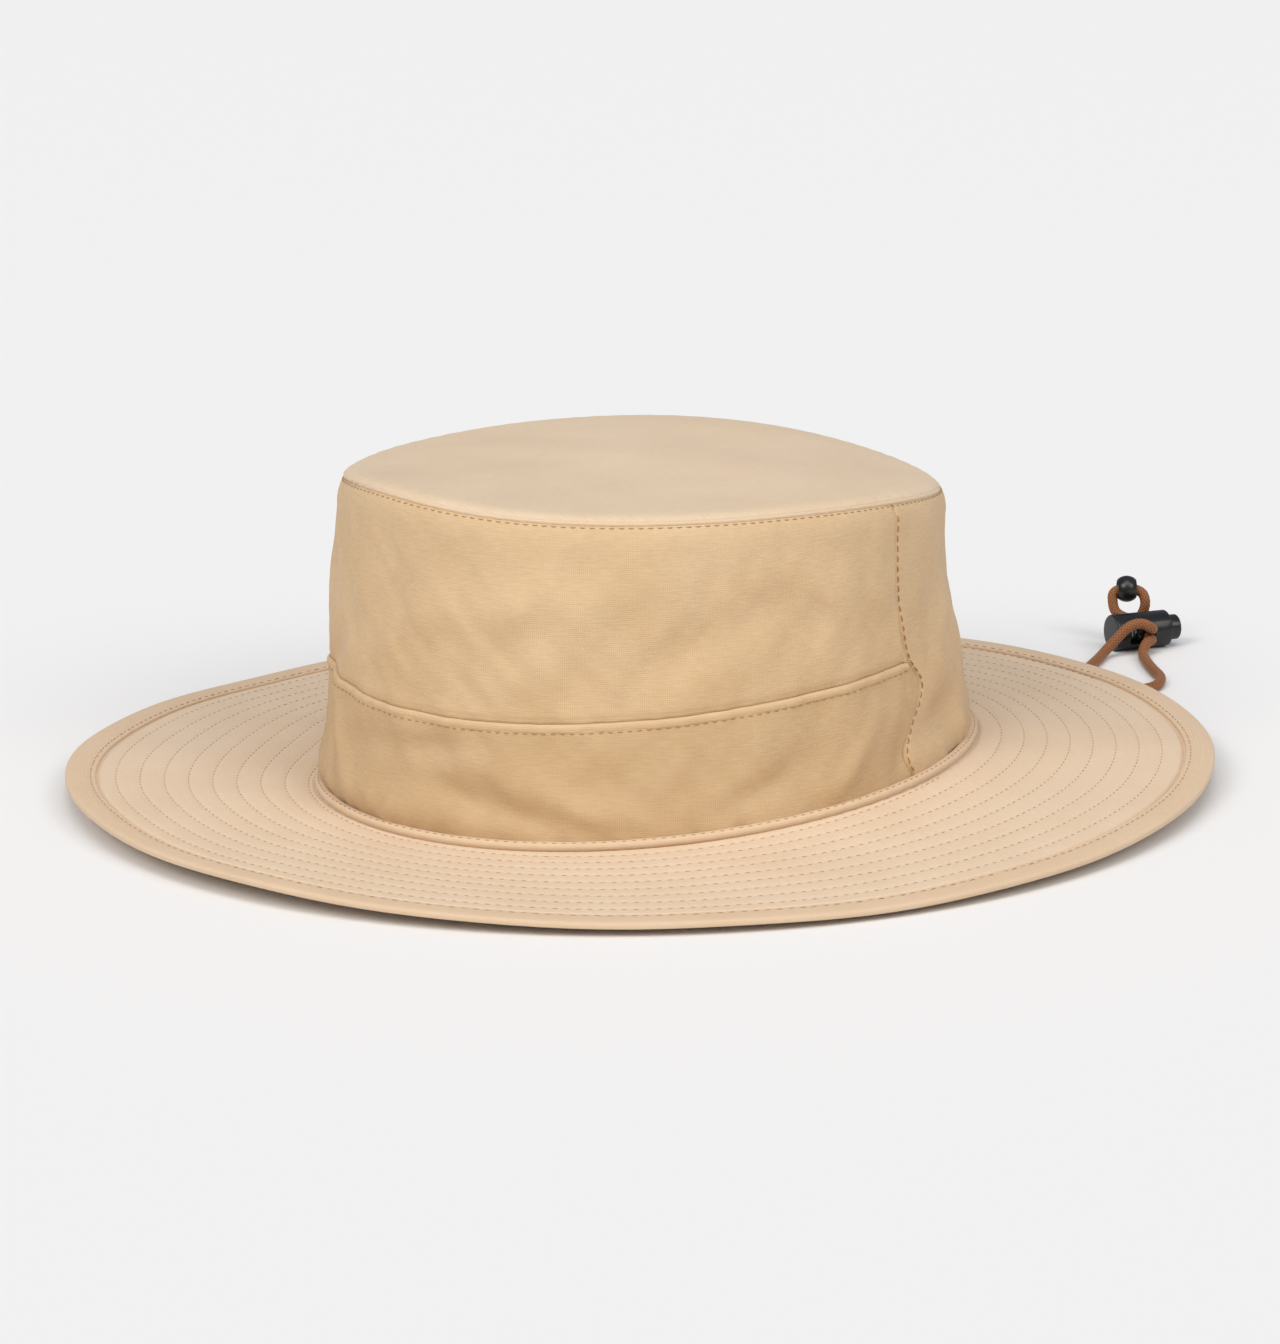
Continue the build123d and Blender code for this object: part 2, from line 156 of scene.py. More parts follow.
def woven_cloth(name, colour, shade, sheen, weave=0.12, threads=THREADS_PER_METRE, roughness=0.82):
    """Plain-weave cloth: two crossed sets of rounded yarns as bump, slubs, soft clouds of tone and
    a fibre sheen. colour is the yarn's and shade the darker tone, which the yarns lay in as painted
    shade in their hollows; the cloth goes from one to the other by the sum of what yarns, slubs and
    clouds add."""
    material, tree = new_material(name)
    place = add_node(tree, "ShaderNodeTexCoord").outputs["UV"]
    waves = []
    for direction in ("X", "Y"):
        waves.append(add_node(
            tree, "ShaderNodeTexWave",
            {"wave_type": "BANDS", "bands_direction": direction, "wave_profile": "SIN"},
            Vector=place, Scale=threads * np.pi / 10, Distortion=0.5, Detail=1.0,
            Detail_Scale=0.6,
        ).outputs["Fac"])
    weave_height = add_node(tree, "ShaderNodeMath", {"operation": "MULTIPLY"}, _0=waves[0],
                            _1=waves[1])
    stretched = add_node(tree, "ShaderNodeMapping", Vector=place, Scale=(1.0, SLUB_STRETCH, 1.0))
    slubs = add_node(tree, "ShaderNodeTexNoise", Vector=stretched.outputs["Vector"],
                     Scale=1 / SLUB_LENGTH, Detail=3.0, Roughness=0.6)
    clouds = add_node(tree, "ShaderNodeTexNoise", Vector=place, Scale=1 / CLOUD_SIZE, Detail=2.0,
                      Roughness=0.5)
    # the hollows between yarns are darkened: painted shade
    yarn_painted_shade = add_node(tree, "ShaderNodeMapRange", Value=weave_height.outputs["Value"],
                         From_Min=0.0, From_Max=0.8, To_Min=0.06, To_Max=0.44)
    slub_tone = add_node(tree, "ShaderNodeMapRange", Value=slubs.outputs["Fac"],
                         From_Min=0.3, From_Max=0.7, To_Min=0.0, To_Max=0.28)
    cloud_tone = add_node(tree, "ShaderNodeMapRange", Value=clouds.outputs["Fac"],
                          From_Min=0.3, From_Max=0.7, To_Min=0.0, To_Max=0.22)
    tone = add_node(tree, "ShaderNodeMath", {"operation": "ADD"}, _0=yarn_painted_shade.outputs["Result"],
                    _1=slub_tone.outputs["Result"])
    tone = add_node(tree, "ShaderNodeMath", {"operation": "ADD"}, _0=tone.outputs["Value"],
                    _1=cloud_tone.outputs["Result"])
    dyed = add_node(tree, "ShaderNodeMix", {"data_type": "RGBA"}, Factor=tone.outputs["Value"],
                    _6=linear(shade), _7=linear(colour))
    bump = add_node(tree, "ShaderNodeBump", Strength=weave, Distance=YARN_BUMP,
                    Height=weave_height.outputs["Value"])
    bump = add_node(tree, "ShaderNodeBump", Strength=0.12, Distance=SLUB_BUMP,
                    Height=slubs.outputs["Fac"], Normal=bump.outputs["Normal"])
    surface = add_node(tree, "ShaderNodeBsdfPrincipled", Base_Color=dyed.outputs[2],
                       Roughness=roughness, Sheen_Weight=sheen, Sheen_Roughness=0.45,
                       Normal=bump.outputs["Normal"])
    surface.inputs["Specular IOR Level"].default_value = 0.25
    add_node(tree, "ShaderNodeOutputMaterial", Surface=surface.outputs["BSDF"])
    return material


# Washed cotton poplin: matt, a warm sandy tan that pales where it is seen edge on. The panels are
# one cloth; their tints are painted light and shade: tip and brim paler, band and edge deeper.
wall_cloth = woven_cloth("cotton_poplin_wall", "E2C9A7", "C6A478", sheen=0.12, weave=0.16)
# The lower band is given a deeper tint: painted shade.
band_cloth_painted_shade = woven_cloth("cotton_poplin_band_painted_shade", "D5BB99", "BB996D", sheen=0.12, weave=0.16)
# The tip is painted paler: painted light on its upward face.
tip_cloth_painted_light = woven_cloth("cotton_poplin_tip_painted_light", "EAD7BE", "D3B795", sheen=0.15, weave=0.15)
# The quilted brim is painted paler: painted light on its upward face.
brim_cloth_painted_light = woven_cloth("cotton_poplin_brim_painted_light", "E9D6BF", "D6BA9B", sheen=0.15, weave=0.12)
# The edge band and base ridge are painted a little deeper: painted shade against the front lights.
edge_cloth_painted_shade = woven_cloth("cotton_poplin_edge_painted_shade", "E1C9AE", "D1B493", sheen=0.15, weave=0.10)
# Thin non-woven felt that stiffens the brim, off-white and dull.
felt = woven_cloth("nonwoven_felt", "E3DED2", "CFC9BB", sheen=0.05, weave=0.02)
# Brushed wicking knit against the forehead: fine ribs and a soft, darker look.
sweat_knit = woven_cloth("brushed_wicking_knit", "B59A77", "9C8060", sheen=0.3, weave=0.25,
                         threads=900, roughness=0.9)
# Cotton tape over the seams and as the cord's tabs: coarser yarns, firmer and flatter.
twill_tape = woven_cloth("cotton_twill_tape", "C4A67C", "A98A60", sheen=0.08, weave=0.4,
                         threads=800)
# Satin-woven label, blank, slightly glossy.
label_satin = woven_cloth("satin_label", "F0ECE3", "DDD8CC", sheen=0.1, weave=0.1,
                          roughness=0.45)


def spun_thread(name, colour, shade):
    """Spun polyester sewing thread: slanting plies as bump, with painted shade between plies."""
    material, tree = new_material(name)
    place = add_node(tree, "ShaderNodeTexCoord").outputs["Object"]
    plies = add_node(tree, "ShaderNodeTexWave",
                     {"wave_type": "BANDS", "bands_direction": "DIAGONAL"},
                     Vector=place, Scale=900.0)
    dyed = add_node(tree, "ShaderNodeMix", {"data_type": "RGBA"}, Factor=plies.outputs["Fac"],
                    _6=linear(shade), _7=linear(colour))
    bump = add_node(tree, "ShaderNodeBump", Strength=0.3, Distance=0.0001,
                    Height=plies.outputs["Fac"])
    surface = add_node(tree, "ShaderNodeBsdfPrincipled", Base_Color=dyed.outputs[2], Roughness=0.55,
                       Normal=bump.outputs["Normal"])
    add_node(tree, "ShaderNodeOutputMaterial", Surface=surface.outputs["BSDF"])
    return material


thread = spun_thread("spun_polyester_thread", "B8946A", "9C7850")


def braided_sheath(name, colour, shade):
    """Braided polyester: painted light on the strands' crowns and painted shade in the hollows
    between them, as the piece's own attribute gives, with fine filaments along them."""
    material, tree = new_material(name)
    crown = add_node(tree, "ShaderNodeAttribute", {"attribute_name": "braid_painted_shade"}).outputs["Fac"]
    place = add_node(tree, "ShaderNodeTexCoord").outputs["Object"]
    filaments = add_node(tree, "ShaderNodeTexNoise", Vector=place, Scale=2500.0, Detail=2.0)
    dyed = add_node(tree, "ShaderNodeMix", {"data_type": "RGBA"}, Factor=crown,
                    _6=linear(shade), _7=linear(colour))
    bump = add_node(tree, "ShaderNodeBump", Strength=0.35, Distance=0.0002,
                    Height=filaments.outputs["Fac"])
    surface = add_node(tree, "ShaderNodeBsdfPrincipled", Base_Color=dyed.outputs[2], Roughness=0.6,
                       Sheen_Weight=0.15, Normal=bump.outputs["Normal"])
    add_node(tree, "ShaderNodeOutputMaterial", Surface=surface.outputs["BSDF"])
    return material


cord_braid = braided_sheath("polyester_braid", "A3642F", "3A2010")


def moulded_plastic(name, colour, roughness):
    """Moulded acetal: charcoal black with a satin spark-eroded grain and faint uneven gloss."""
    material, tree = new_material(name)
    place = add_node(tree, "ShaderNodeTexCoord").outputs["Object"]
    grain = add_node(tree, "ShaderNodeTexNoise", Vector=place, Scale=3500.0, Detail=2.0)
    wear = add_node(tree, "ShaderNodeTexNoise", Vector=place, Scale=250.0, Detail=3.0)
    gloss = add_node(tree, "ShaderNodeMapRange", Value=wear.outputs["Fac"], From_Min=0.3,
                     From_Max=0.7, To_Min=roughness - 0.06, To_Max=roughness + 0.08)
    bump = add_node(tree, "ShaderNodeBump", Strength=0.15, Distance=0.00005,
                    Height=grain.outputs["Fac"])
    surface = add_node(tree, "ShaderNodeBsdfPrincipled", Base_Color=linear(colour),
                       Roughness=gloss.outputs["Result"], Normal=bump.outputs["Normal"])
    add_node(tree, "ShaderNodeOutputMaterial", Surface=surface.outputs["BSDF"])
    return material


acetal = moulded_plastic("moulded_acetal", "131416", 0.32)


def drawn_steel(name, colour):
    """Drawn spring wire: bright grey metal with fine lengthwise drawing marks."""
    material, tree = new_material(name)
    place = add_node(tree, "ShaderNodeTexCoord").outputs["Object"]
    marks = add_node(tree, "ShaderNodeTexNoise", Vector=place, Scale=4000.0, Detail=1.0)
    polish = add_node(tree, "ShaderNodeMapRange", Value=marks.outputs["Fac"], To_Min=0.2,
                      To_Max=0.4)
    surface = add_node(tree, "ShaderNodeBsdfPrincipled", Base_Color=linear(colour), Metallic=1.0,
                       Roughness=polish.outputs["Result"])
    add_node(tree, "ShaderNodeOutputMaterial", Surface=surface.outputs["BSDF"])
    return material


spring_steel = drawn_steel("drawn_spring_steel", "B9BCC0")


# ---- chin cord -----------------------------------------------------------------------------------
CORD_D = 3.2
CORD_Z = 1.65                   # its middle where it lies on the table
LOCK_START = np.array((-23.4, 214.7, 5.9))      # middle of the barrel's closed end
LOCK_AXIS = np.array((0.28, 0.96, 0.0))         # from the closed end towards the plunger
LOCK_FRONT = np.array((0.96, -0.28, 0.0))       # level, square to the axis
CORD_AT = 11.4                  # where the strands cross the barrel, from its closed end
STRAND_OFFSET = 1.65            # each strand's middle is this far over or under the axis


def at_lock(along, front, up):
    """A point given along the barrel from its closed end, out of its front, and up."""
    return tuple(LOCK_START + LOCK_AXIS * along + LOCK_FRONT * front + np.array((0, 0, up)))


def anchor_mouth(box):
    """The middle of an anchor tab's lower end, in millimetres."""
    return ((box[0][0] + box[1][0]) / 2 / MM, (box[0][1] + box[1][1]) / 2 / MM, box[0][2] / MM)


right_anchor, left_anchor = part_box("cord_anchor_right"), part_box("cord_anchor_left")
right_mouth, left_mouth = anchor_mouth(right_anchor), anchor_mouth(left_anchor)
cord_route = [
    right_mouth,
    (right_mouth[0], right_mouth[1], 3.6),
    (-77.0, -9.0, CORD_Z),
    (-61.0, -17.0, CORD_Z),
    (-43.0, -9.0, CORD_Z),
    (-34.0, 16.0, CORD_Z),
    (-46.0, 42.0, CORD_Z),
    (-38.0, 68.0, CORD_Z),
    (-20.0, 92.0, CORD_Z),
    (-19.0, 118.0, CORD_Z),
    (-7.0, 141.0, CORD_Z),
    (0.5, 164.0, CORD_Z),
    (-3.5, 183.5, CORD_Z),
    (-12.2, 197.8, CORD_Z),
    at_lock(-6.0, 7.6, -3.6),
    at_lock(-1.7, 7.9, 0.6),
    at_lock(1.6, 8.3, 3.8),
    at_lock(5.6, 8.9, 4.9),
    at_lock(8.9, 9.6, 3.4),
    at_lock(CORD_AT, 7.6, STRAND_OFFSET),
    # through the lock, round the end loop and its bead, and back through the lock
    at_lock(CORD_AT, 0, STRAND_OFFSET),
    at_lock(CORD_AT, -7.4, STRAND_OFFSET),
    at_lock(7.2, -9.8, 3.3),
    at_lock(6.2, -11.3, 5.6),
    (-33.7, 224.5, 17.2),
    (-28.0, 232.0, 17.2),
    (-25.8, 232.6, 12.6),
    at_lock(15.2, -9.6, 1.2),
    at_lock(CORD_AT, -7.6, -STRAND_OFFSET),
    at_lock(CORD_AT, 0, -STRAND_OFFSET),
    at_lock(CORD_AT, 7.6, -STRAND_OFFSET),
    at_lock(7.6, 9.6, -1.6),
    at_lock(5.2, 12.0, -4.1),
    (-5.4, 211.8, CORD_Z),
    (6.8, 203.6, CORD_Z),
    (18.0, 197.6, CORD_Z),
    (25.6, 187.0, CORD_Z),
    (22.2, 174.0, CORD_Z),
    (15.0, 158.0, CORD_Z),
    (13.0, 134.0, CORD_Z),
    (23.0, 110.0, CORD_Z),
    (23.0, 84.0, CORD_Z),
    (40.0, 62.0, CORD_Z),
    (45.0, 36.0, CORD_Z),
    (35.0, 12.0, CORD_Z),
    (44.0, -12.0, CORD_Z),
    (62.0, -19.0, CORD_Z),
    (77.5, -9.0, CORD_Z),
    (left_mouth[0], left_mouth[1], 3.6),
    left_mouth,
]


def cord_line():
    """The cord's line: one open spline of degree two with the route's points as control points."""
    curve = bpy.data.curves.new("chin_cord_line", "CURVE")
    curve.dimensions = "3D"
    curve.resolution_u = 40
    spline = curve.splines.new("NURBS")
    spline.points.add(len(cord_route) - 1)
    for point, place in zip(spline.points, cord_route):
        point.co = (*(np.array(place) * MM), 1.0)
    spline.order_u = 3
    spline.use_endpoint_u = True
    return curve


STRANDS = 8                     # strands that wind each way round the cord
STRAND_HEIGHT = 0.13            # how far a strand stands out, as a share of the cord's radius
CROWN_RISE = 1.4                # the narrow crowns stand this much higher, for the same mean girth
CORD_SIDES = 28


def make_cord():
    """A braided tube round the cord's line. The radius rises over two opposite sets of helical
    strands, and the higher of the two shows: the crown is the cube of the larger of
    |sin(k(turn - lead))| and |sin(k(turn + lead))|, where k is half the number of strands."""
    curve = cord_line()
    line = bpy.data.objects.new("chin_cord_line", curve)
    scene.collection.objects.link(line)
    centre_mesh = bpy.data.meshes.new_from_object(line)
    centre = np.zeros(len(centre_mesh.vertices) * 3)
    centre_mesh.vertices.foreach_get("co", centre)
    centre = centre.reshape(-1, 3)
    curve.bevel_depth = CORD_D / 2 * MM
    curve.bevel_resolution = (CORD_SIDES - 4) // 2
    tube_mesh = bpy.data.meshes.new_from_object(line)
    tube = np.zeros(len(tube_mesh.vertices) * 3)
    tube_mesh.vertices.foreach_get("co", tube)
    tube = tube.reshape(len(centre), -1, 3)
    for data in (centre_mesh, tube_mesh):
        bpy.data.meshes.remove(data)
    bpy.data.objects.remove(line)
    steps = np.linalg.norm(np.diff(centre, axis=0), axis=1)
    along = np.concatenate([[0], np.cumsum(steps)])[:, None]
    turn = np.arange(tube.shape[1])[None, :] * 2 * np.pi / tube.shape[1]
    lead = along / (CORD_D / 2 * MM)
    left_hand = np.abs(np.sin(STRANDS / 2 * (turn - lead)))
    right_hand = np.abs(np.sin(STRANDS / 2 * (turn + lead)))
    crown = np.maximum(left_hand, right_hand) ** 3
    grown = 1 - STRAND_HEIGHT + STRAND_HEIGHT * CROWN_RISE * crown
    points = centre[:, None] + (tube - centre[:, None]) * grown[..., None]
    caps = [np.repeat(centre[end][None, None], tube.shape[1], 1) for end in (0, -1)]
    mesh = grid_mesh("chin_cord", np.concatenate([caps[0], points, caps[1]]) / MM, closed_u=True)
    # the crowns' height, kept as an attribute, paints light and shade into the cord's colour
    braid_painted_shade = mesh.attributes.new("braid_painted_shade", "FLOAT", "POINT")
    height = np.concatenate([crown[:1], crown, crown[-1:]])
    braid_painted_shade.data.foreach_set("value", height.reshape(-1).astype(np.float32))
    cord = add_object("chin_cord", mesh, cord_braid,
                      replaces=("cord_right_strand", "cord_left_strand", "cord_end_loop"))
    return cord, centre


WELD_REACH, EDGE_ROUND = 0.01, 0.12     # points this near are one, and edges are this round


def rounded_copy(node, material, body):
    """A CAD piece's own shape with its triangles joined, so that its round faces shade smoothly."""
    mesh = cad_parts[node].data.copy()
    mesh.name = node + "_shell"
    mesh.materials.clear()
    piece = add_object(node + "_shell", mesh, material, body, (node,))
    weld = piece.modifiers.new("joined_faces", "WELD")
    weld.merge_threshold = WELD_REACH * MM
    bevel = piece.modifiers.new("moulded_edges", "BEVEL")
    bevel.width = EDGE_ROUND * MM
    bevel.segments = 2
    bevel.angle_limit = np.radians(40)
    mesh.shade_smooth()
    return piece


barrel = rounded_copy("lock_barrel", acetal, "hat")
plunger = rounded_copy("lock_plunger", acetal, "plunger")
bead = rounded_copy("end_bead", acetal, "bead")
spring = rounded_copy("lock_spring", spring_steel, "hat")
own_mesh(spring)
cord, cord_path = make_cord()


# ---- the hat's shape: rings, wall, tip and brim --------------------------------------------------
CENTRE = (0.55, 0.7)            # the soft crown has shifted a little on its brim
BASE_R = (91.0, 100.3)          # each oval's half width to the side and half depth to the back
BAND_R = (87.8, 97.0)
TIP_R = (81.4, 90.6)
BRIM_WIDTH = 72.5
FOOT = 2.6                      # the base ridge's foot stands this far out of the wall
RIDGE_TALL = 2.2                # and this far under the base ring
FRONT_FROM, FRONT_TO = -198.0, 18.0     # the front panels, between the side seams
BACK_TO = 162.0                 # the back panel goes on from the left side seam to here
WALL_DEGREE = 1.64              # a degree of turn is this long on the wall
INNER_DEGREE = 1.6              # and a little less on its inside

# height of a ring: its mean, then how much it rises to the left and the back, its saddle and twist,
# and where there are two more, its three-fold wave
BASE_LEVEL = (9.3, 2.0, 3.9, 0.2, 1.5)
BAND_LEVEL = (41.4, 1.4, 2.8, 0.9, 1.6)
TIP_LEVEL = (90.4, 1.8, -3.8, 0.4, -1.4, 0.8, 0.9)
EDGE_LEVEL = (4.9, 0.8, 0.6, -1.9, 0.7, 0.3, 0.3)


def level(theta, terms):
    """Height of a ring: the mean plus, for each n from 1, a term in cos n theta and one in sin."""
    turn = np.radians(theta)
    height = terms[0] + 0 * turn
    for n in range(1, len(terms) // 2 + 1):
        height = height + terms[2 * n - 1] * np.cos(n * turn) + terms[2 * n] * np.sin(n * turn)
    return height


def bell(value, middle, width):
    """A bell curve of height one."""
    return np.exp(-0.5 * ((value - middle) / width) ** 2)


def degrees_from(theta, middle):
    """Degrees round the hat from middle, the shorter way, from -180 to 180."""
    return (theta - middle + 180) % 360 - 180


def turn_bell(theta, middle, width):
    """A bell curve round the hat, in degrees, that doesn't break at the full turn."""
    return bell(degrees_from(theta, middle), 0, width)


def tip_height(theta):
    """Height of the seam round the tip: its ring, with two lifts and two dips where it is slack."""
    lifted = 2.2 * turn_bell(theta, -98, 18) + 1.7 * turn_bell(theta, 192, 26)
    sunk = 0.7 * turn_bell(theta, 52, 22) + 0.8 * turn_bell(theta, 78, 22)
    return level(theta, TIP_LEVEL) + lifted - sunk


def outward(theta, radii):
    """Unit normal of an oval at its parameter theta."""
    turn = np.radians(theta)
    normal = np.stack([radii[1] * np.cos(turn), radii[0] * np.sin(turn), 0 * turn], -1)
    return normal / np.linalg.norm(normal, axis=-1, keepdims=True)


def soft_folds(theta, height, seed, slowest, fastest, count=14):
    """Soft cloth folds: a sum of slanting waves round and up the hat, each with its own phase,
    where slower waves are higher. The whole is about one millimetre high."""
    draw = np.random.default_rng(seed)
    total = np.zeros(np.broadcast(theta, height).shape)
    turn = np.radians(theta)
    for _ in range(count):
        cycles = draw.integers(slowest, fastest + 1)
        climb = draw.normal(0, 0.07)
        phase, drift = draw.uniform(0, 2 * np.pi, 2)
        bend = 0.8 * np.sin(turn * 2 + height * 0.04 + drift)
        wave = np.sin(cycles * turn + climb * height + phase + bend)
        total = total + wave * slowest / cycles
    return total / np.sqrt(count) * 1.6


def pucker(theta, distance, radius, pitch, reach, seed):
    """Gathers beside a seam: short waves along it, uneven in height, that die away from it.
    radius is the seam's, pitch the length of a wave, and reach how far the waves last."""
    cycles = round(2 * np.pi * radius / pitch)
    turn = np.radians(theta)
    uneven = 0.6 + 0.4 * np.sin(turn * 7 + seed) * np.sin(turn * 13 + 2 * seed)
    shift = 1.5 * np.sin(turn * 5 + seed)
    return uneven * np.sin(cycles * turn + shift) * np.exp(-np.abs(distance) / reach)


def on_front(theta):
    """One over the front panels, which have the band seam. Over the back panel, which has none, it
    falls from a quarter at the side seams to nothing at the middle."""
    from_back = degrees_from(theta, (FRONT_TO + BACK_TO) / 2)
    return 1 - bell(from_back, 0, 92) * (np.abs(from_back) < (BACK_TO - FRONT_TO) / 2)


def wall_dents(theta, z):
    """Where the soft wall has sunk in, in millimetres: low at the front right, above half height
    at the back left, all the way up at the front right, and along the band seam."""
    low = 1 / (1 + np.exp((z - 33) / 6))
    dents = -6.0 * turn_bell(theta, -140, 13) * low
    dents = dents - 3.0 * turn_bell(theta, 52, 24) * bell(z, 62, 13)
    dents = dents - 1.3 * turn_bell(theta, -135, 35)
    return dents - 0.7 * bell(z, 41.5, 5) * on_front(theta)


# the larger folds: angle, height, length, width, slant in radians, and how far each stands out
FOLDS = (
    (-112, 24, 15, 3.2, -1.0, -1.3),
    (-103, 20, 12, 3.0, -0.9, 0.9),
    (-78, 28, 16, 3.0, 0.1, -0.8),
    (-50, 16, 22, 3.5, -0.35, 0.9),
    (-62, 13, 20, 3.0, -0.25, -0.8),
    (-20, 14, 13, 3.2, 0.5, -0.9),
    (2, 20, 12, 3.0, 0.9, 0.9),
    (12, 12, 9, 2.6, 1.2, -1.2),
    (30, 26, 12, 4.5, 0.2, -1.7),
    (38, 15, 10, 3.0, 1.2, 0.9),
    (-95, 62, 24, 5.0, 0.5, -0.7),
    (-60, 70, 26, 5.0, 0.15, 0.8),
    (-30, 58, 24, 5.5, 0.35, -0.8),
    (0, 72, 20, 5.0, -0.3, 0.7),
    (35, 50, 14, 5.0, 0.9, 0.9),
    (80, 40, 30, 6.0, 0.3, -1.0),
    (125, 58, 26, 6.0, -0.4, 0.9),
    (150, 30, 20, 5.0, 0.6, -1.0),
    (-160, 48, 22, 5.0, -0.4, 0.8),
)


def large_folds(theta, z):
    """The larger folds of the wall: slanting ridges and hollows where the cloth has slumped, each a
    long bell turned along its own slant."""
    total = 0 * theta
    for angle, height, length, width, slant, out in FOLDS:
        along, up = degrees_from(theta, angle) * WALL_DEGREE, z - height
        ahead = along * np.cos(slant) + up * np.sin(slant)
        aside = up * np.cos(slant) - along * np.sin(slant)
        total = total + out * bell(ahead, 0, length) * bell(aside, 0, width)
    return total


# the smaller folds of the wall: height, fineness up the wall, seed, slowest and fastest wave
RIPPLES = ((0.40, 1.0, 3, 4, 16), (0.30, 2.2, 8, 14, 34), (0.13, 5.0, 12, 30, 70))
FOLD_SIZE = 1.9                 # the larger folds, in all, are this many times the table's
FOLD_FADE = 4.5                 # they fade out this near the base seam
CALM = 9                        # and the ripples this near the tip seam
SHOULDER, SHOULDER_DROP = 2.5, 7        # the wall swells by this under the tip seam, this far down


def wall_point(theta, rise, out=0.0, folds=1.0):
    """A point of the crown wall. rise is 0 at the brim, 1 at the band seam and 2 at the tip seam.
    The three ovals are joined by straight slants, a quarter round makes the shoulder under the tip,
    and dents, folds and gathers move the wall in or out."""
    theta, rise = np.broadcast_arrays(np.asarray(theta, float), np.asarray(rise, float))
    turn = np.radians(theta)
    lower, upper = np.clip(rise, 0, 1), np.clip(rise - 1, 0, 1)
    radii = [BASE_R[i] + (BAND_R[i] - BASE_R[i]) * lower + (TIP_R[i] - BAND_R[i]) * upper
             for i in (0, 1)]
    base, band, tip = level(theta, BASE_LEVEL) - 1.0, level(theta, BAND_LEVEL), tip_height(theta)
    z = base + (band - base) * lower + (tip - band) * upper
    x = CENTRE[0] + radii[0] * np.cos(turn)
    y = CENTRE[1] + radii[1] * np.sin(turn)
    below_tip, above_base, from_band = tip - z, z - base, z - band
    moved = wall_dents(theta, z) + out
    calm = 1 - np.exp(-below_tip / CALM)
    shoulder = np.sqrt(1 - (1 - np.clip(below_tip / SHOULDER_DROP, 0, 1)) ** 2)
    moved = moved + SHOULDER * shoulder * upper
    relief = 0 * z
    for height, fineness, seed, slowest, fastest in RIPPLES:
        relief = relief + height * soft_folds(theta, z * fineness, seed, slowest, fastest) * calm
    relief = relief + FOLD_SIZE * large_folds(theta, z) * (1 - bell(above_base, 0, FOLD_FADE))
    # gathers at the tip, base and band seams
    relief = relief + 0.10 * pucker(theta, below_tip, 88, 6.5, 3.0, 1.0)
    relief = relief + 0.16 * pucker(theta, above_base, 96, 7.5, 4.0, 2.0)
    relief = relief + 0.12 * pucker(theta, from_band, 92, 7.0, 3.0, 3.0) * on_front(theta)
    # the cloth slumps over the base seam, most at the front, and is drawn in over the band seam
    bulge = turn_bell(theta, -100, 24)
    relief = relief + (0.4 + 1.4 * bulge) * bell(above_base, 5.5, 4.0)
    relief = relief - 0.9 * bulge * bell(above_base, 0, 1.6)
    relief = relief - 0.6 * bell(from_band, 0.4, 0.8) * (rise >= 1) * on_front(theta)
    moved = moved + folds * relief
    return np.stack([x, y, z], -1) + outward(theta, BASE_R) * moved[..., None]


TIP_STEP = 2.3                  # the tip's edge stands over the stitches by this much
TIP_RISE = 3.9                  # its middle stands over its edge by this much
TIP_ROUND = 1.6                 # its edge turns down by this much
TIP_SPAN = 88                   # and is about this far from the middle


def tip_point(theta, share):
    """A point of the tip: share 0 is its middle and 1 its seam. The height is a shallow dome over
    the seam's own rise and fall, with long shallow creases across it."""
    theta, share = np.broadcast_arrays(np.asarray(theta, float), np.asarray(share, float))
    rim = tip_height(theta) + TIP_STEP
    middle = TIP_LEVEL[0] + TIP_STEP + TIP_RISE
    turn = np.radians(theta)
    x = CENTRE[0] + (TIP_R[0] - 0.2) * share * np.cos(turn)
    y = CENTRE[1] + (TIP_R[1] - 0.2) * share * np.sin(turn)
    from_rim = (1 - share) * TIP_SPAN
    z = middle + (rim - middle) * share ** 2.2 - TIP_ROUND * np.exp(-from_rim / 1.7)
    along, across = 0.94 * x + 0.34 * y, -0.34 * x + 0.94 * y
    creases = (np.sin(across / 9.0 + 0.6 * np.sin(along / 37) + 0.7) * np.sin(along / 31 + 1.1)
               + 0.7 * np.sin(across / 15.0 - along / 60 + 2.0)
               + 0.5 * np.sin(across / 5.5 + along / 45) * np.sin(along / 22))
    z = z + 0.30 * creases * (1 - share ** 6) + 0.16 * pucker(theta, from_rim, TIP_SPAN, 8, 4, 4.0)
    return np.stack([x, y, z], -1)


def edge_height(theta):
    """Height of the middle of the brim's edge: its ring, with quick ripples and four slow sags."""
    turn = np.radians(theta)
    ripple = 0.18 * np.sin(9 * turn + 0.5) + 0.14 * np.sin(14 * turn + 2.1)
    sag = 0.9 * turn_bell(theta, -32, 30) + 0.8 * turn_bell(theta, -165, 18)
    sag = sag + 0.4 * turn_bell(theta, -85, 15) + 0.5 * turn_bell(theta, 8, 14)
    return level(theta, EDGE_LEVEL) + ripple - sag


EDGE_OVER = 0.9                 # the upper face over the middle of the edge


def brim_point(theta, inset, lift=0.0):
    """A point of the brim's upper face. inset is the distance in from the outer edge. The face is
    straight from the ridge's foot to the edge, with slow waves between, and lift is added."""
    theta, inset = np.broadcast_arrays(np.asarray(theta, float), np.asarray(inset, float))
    foot = wall_point(theta, 0.0, FOOT, folds=0.0)
    foot[..., 2] = level(theta, BASE_LEVEL) - RIDGE_TALL
    turn = np.radians(theta)
    edge = np.stack([CENTRE[0] + BASE_R[0] * np.cos(turn), CENTRE[1] + BASE_R[1] * np.sin(turn),
                     edge_height(theta) + EDGE_OVER], -1)
    edge = edge + outward(theta, BASE_R) * BRIM_WIDTH
    share = (inset / (BRIM_WIDTH - FOOT))[..., None]
    point = edge + (foot - edge) * share
    waves = soft_folds(theta, inset, 21, 3, 11, 8) * 0.22
    point[..., 2] += lift + waves * np.sin(np.pi * np.clip(share[..., 0], 0, 1))
    return point


